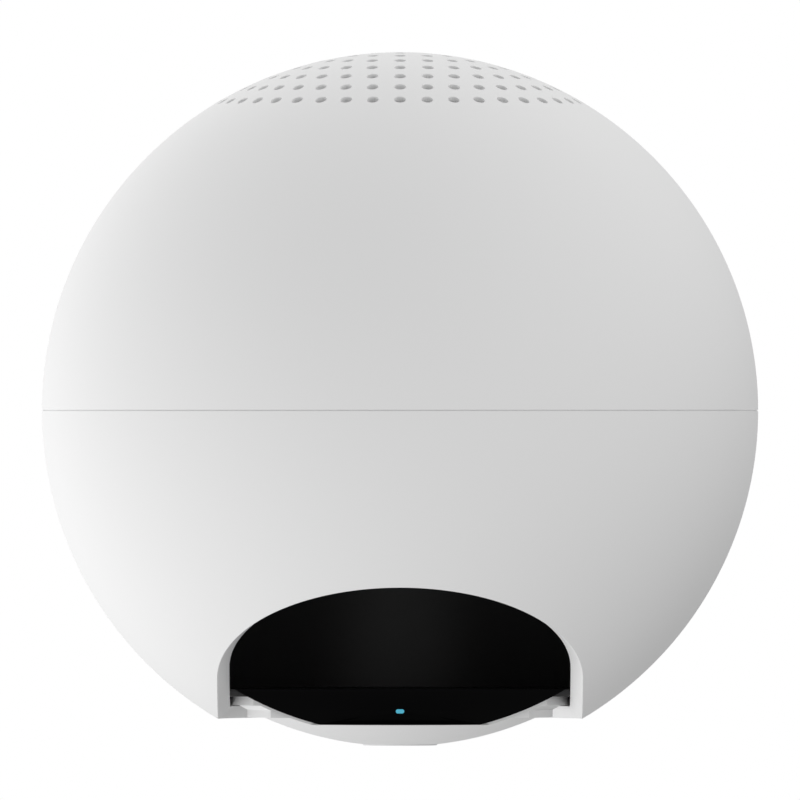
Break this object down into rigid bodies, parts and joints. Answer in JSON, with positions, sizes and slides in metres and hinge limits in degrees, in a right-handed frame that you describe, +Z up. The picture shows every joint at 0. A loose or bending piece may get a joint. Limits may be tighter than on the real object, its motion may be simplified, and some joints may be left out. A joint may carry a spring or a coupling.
{
  "type": "smart speaker",
  "caption": "Ball-shaped tabletop smart speaker with rings of sound holes on top, an equatorial seam, and an arched black niche with a status light.",
  "frame": {"origin": "on the resting surface, at the middle of the foot pad, under the ball's centre", "axes": "+Z up through the ring of sound holes, -Y out of the niche and the status light, +X to the viewer's right"},
  "size_m": [0.115, 0.115, 0.1112],
  "materials": {
    "white_shell": "satin",
    "black_gloss": "gloss",
    "black_plastic": "matte",
    "black_satin": "satin",
    "steel": "brushed",
    "copper": "satin",
    "cone_paper": "matte",
    "rubber": "matte",
    "circuit_board": "satin",
    "chip": "matte",
    "light_lens": "gloss",
    "mesh_cloth": "matte",
    "magnet": "matte"
  },
  "bodies": {
    "housing": {"upper_shell": "white_shell", "lower_shell": "white_shell", "base_bowl": "white_shell", "niche_liner": "black_satin", "front_panel": "black_gloss", "led_lens": "light_lens", "led_board": "circuit_board", "status_led": "chip", "ballast_weight": "steel", "foot_pad": "rubber", "base_screws": "steel", "chassis": "black_plastic", "chassis_screws": "steel", "main_board": "circuit_board", "board_screws": "steel", "shield_can": "steel", "board_chips": "chip", "board_capacitors": "chip", "antenna_board": "circuit_board", "microphone_board": "circuit_board", "microphones": "chip", "microphone_screws": "steel", "acoustic_mesh": "mesh_cloth", "driver_gasket": "rubber", "driver_frame": "black_plastic", "driver_screws": "steel", "magnet": "magnet", "top_plate": "steel", "yoke": "steel", "port_panel": "black_plastic", "usb_socket": "steel", "port_board": "circuit_board", "mute_switch": "chip", "reset_switch": "chip"},
    "cone_assembly": {"speaker_cone": "cone_paper", "dust_cap": "cone_paper", "coil_former": "cone_paper", "voice_coil": "copper", "spider": "mesh_cloth", "surround": "rubber"},
    "reset_button": {"reset_button": "white_shell"},
    "mute_slider": {"mute_slider": "white_shell"}
  },
  "joints": [
    {"name": "cone_travel", "type": "slide", "parent": "housing", "child": "cone_assembly", "axis": [0, 0, 1], "range_m": [-0.001, 0.001], "stiffness_N_per_m": 1500, "deforming": ["surround", "spider"]},
    {"name": "reset_press", "type": "slide", "parent": "housing", "child": "reset_button", "axis": [0, -1, 0], "range_m": [0, 0.00035], "stiffness_N_per_m": 800},
    {"name": "mute_slide", "type": "slide", "parent": "housing", "child": "mute_slider", "axis": [1, 0, 0], "range_m": [0, 0.002]}
  ]
}
